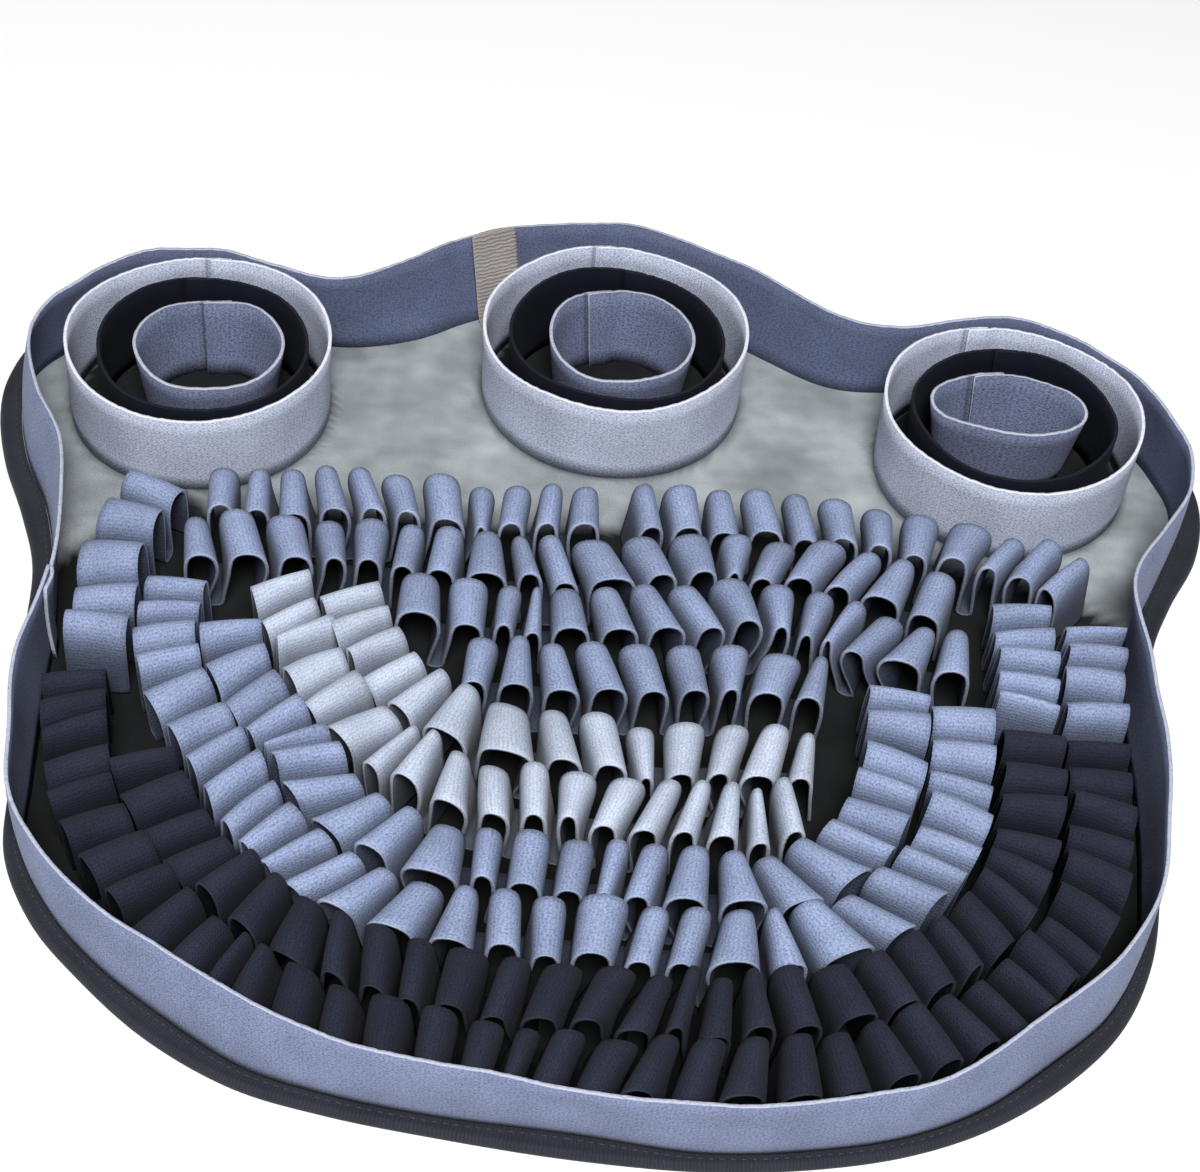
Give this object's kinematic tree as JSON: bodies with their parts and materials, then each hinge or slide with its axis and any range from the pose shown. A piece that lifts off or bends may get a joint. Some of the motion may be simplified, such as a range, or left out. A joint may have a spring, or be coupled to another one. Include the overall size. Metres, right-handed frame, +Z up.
{
  "type": "snuffle mat",
  "caption": "Flat lobed felt forage mat for a dog, with a standing border, nested treat rings and rows of standing felt loops.",
  "frame": {"origin": "on the floor, under the middle of the mat's outline", "axes": "+Z up, +X along the width, +Y from the front edge towards the three lobes at the back"},
  "size_m": [0.5959, 0.5377, 0.0481],
  "materials": {
    "base_fleece": "napped grey-green fleece",
    "binding_tape": "dark woven binding tape",
    "border_felt": "heathered periwinkle felt",
    "pale_felt": "heathered pale grey-blue felt",
    "black_felt": "near-black felt",
    "denim_felt": "flecked denim-blue felt",
    "blue_felt": "heathered blue felt",
    "white_felt": "pale grey felt",
    "charcoal_felt": "charcoal felt",
    "webbing": "ribbed grey-beige webbing"
  },
  "bodies": {
    "root": {"base_cloth": "base_fleece", "edge_binding": "binding_tape", "border_wall": "border_felt", "back_tab": "webbing", "left_pot_outer_ring": "pale_felt", "left_pot_middle_ring": "black_felt", "left_pot_inner_ring": "denim_felt", "centre_pot_outer_ring": "pale_felt", "centre_pot_middle_ring": "black_felt", "centre_pot_inner_ring": "denim_felt", "right_pot_outer_ring": "pale_felt", "right_pot_middle_ring": "black_felt", "right_pot_inner_ring": "denim_felt", "loops_blue_back_left": "blue_felt", "loops_blue_back_right": "blue_felt", "loops_blue_second": "blue_felt", "loops_blue_third": "blue_felt", "loops_blue_fourth": "blue_felt", "loops_pale_inner": "white_felt", "loops_pale_outer": "white_felt", "loops_blue_inner_bow": "blue_felt", "loops_blue_outer_bow": "blue_felt", "loops_dark_inner_bow": "charcoal_felt", "loops_dark_outer_bow": "charcoal_felt", "loops_blue_left_side": "blue_felt", "loops_blue_right_inner_side": "blue_felt", "loops_blue_right_outer_side": "blue_felt"}
  },
  "joints": []
}
